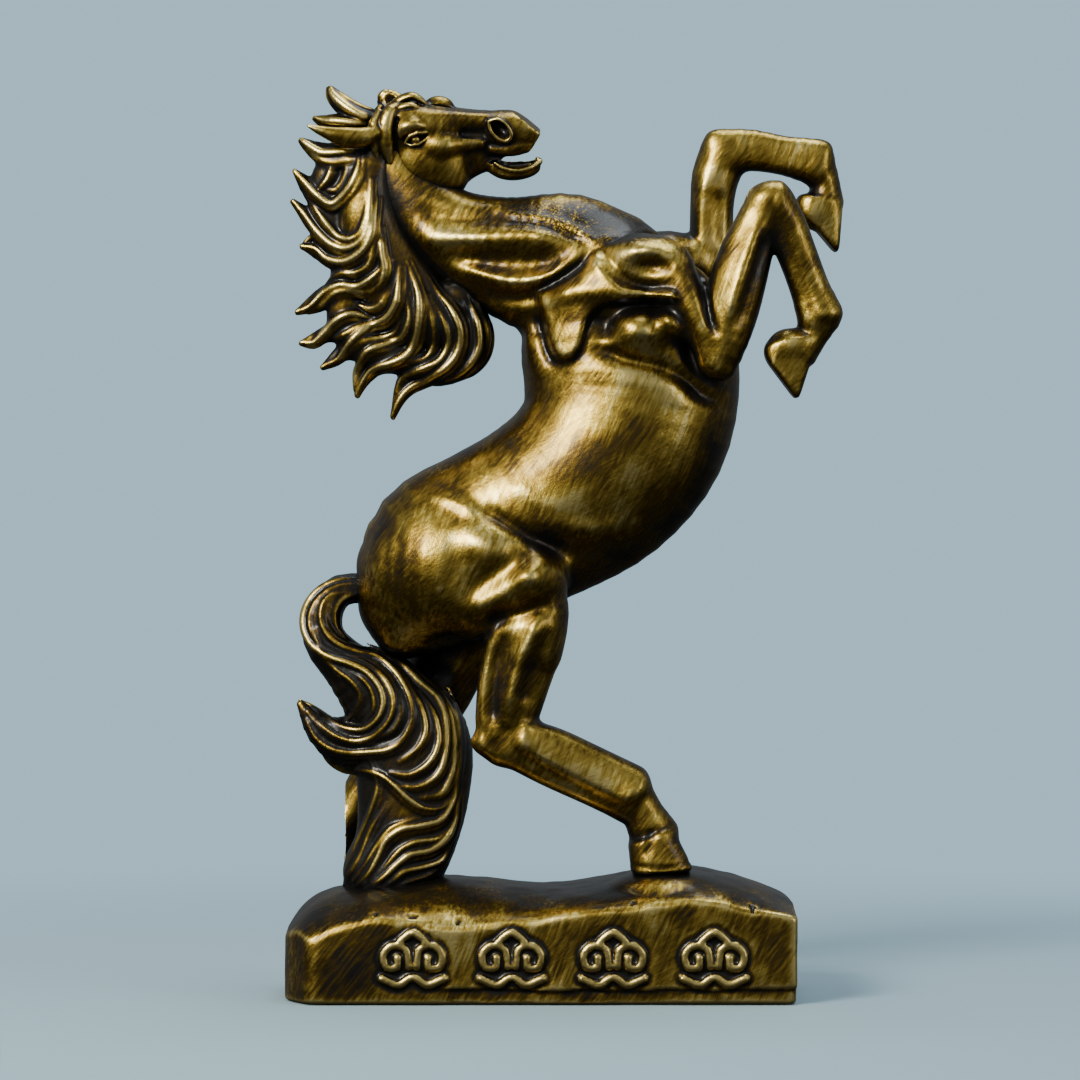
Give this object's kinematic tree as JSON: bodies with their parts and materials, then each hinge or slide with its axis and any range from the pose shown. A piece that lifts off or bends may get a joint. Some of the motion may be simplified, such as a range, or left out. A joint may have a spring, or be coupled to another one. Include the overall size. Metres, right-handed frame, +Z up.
{
  "type": "rearing horse statuette",
  "caption": "Cast horse rearing on its hind legs on a rock-shaped plinth, mane and tail flowing, in dark bronze with rubbed golden highlights.",
  "frame": {"origin": "centre of the felt underside, on the surface the statuette stands on", "axes": "+Z up, +X the way the horse faces, along the plinth; +Y towards the horse's left side"},
  "size_m": [0.243, 0.097, 0.3988],
  "materials": {
    "bronze": "cast bronze, dark brown patina rubbed back to gold on the raised forms, clear lacquer",
    "pin_brass": "bright drawn brass rod",
    "steel": "zinc-plated",
    "felt": "dense dark green wool felt"
  },
  "bodies": {
    "root": {"plinth_casting": "bronze", "torso_casting": "bronze", "neck_casting": "bronze", "head_casting": "bronze", "mane_casting": "bronze", "tail_casting": "bronze", "right_foreleg_casting": "bronze", "left_foreleg_casting": "bronze", "right_hind_leg_casting": "bronze", "left_hind_leg_casting": "bronze", "cover_plate": "steel", "cover_screw_1": "steel", "cover_screw_2": "steel", "cover_screw_3": "steel", "cover_screw_4": "steel", "right_hind_stud": "steel", "right_hind_washer": "steel", "right_hind_nut": "steel", "left_hind_stud": "steel", "left_hind_washer": "steel", "left_hind_nut": "steel", "tail_stud": "steel", "tail_washer": "steel", "tail_nut": "steel", "right_foreleg_dowel": "pin_brass", "left_foreleg_dowel": "pin_brass", "right_hind_dowel": "pin_brass", "left_hind_dowel": "pin_brass", "tail_dowel": "pin_brass", "head_dowel": "pin_brass", "mane_upper_dowel": "pin_brass", "mane_lower_dowel": "pin_brass", "neck_dowel": "pin_brass", "felt_pad": "felt"}
  },
  "joints": []
}
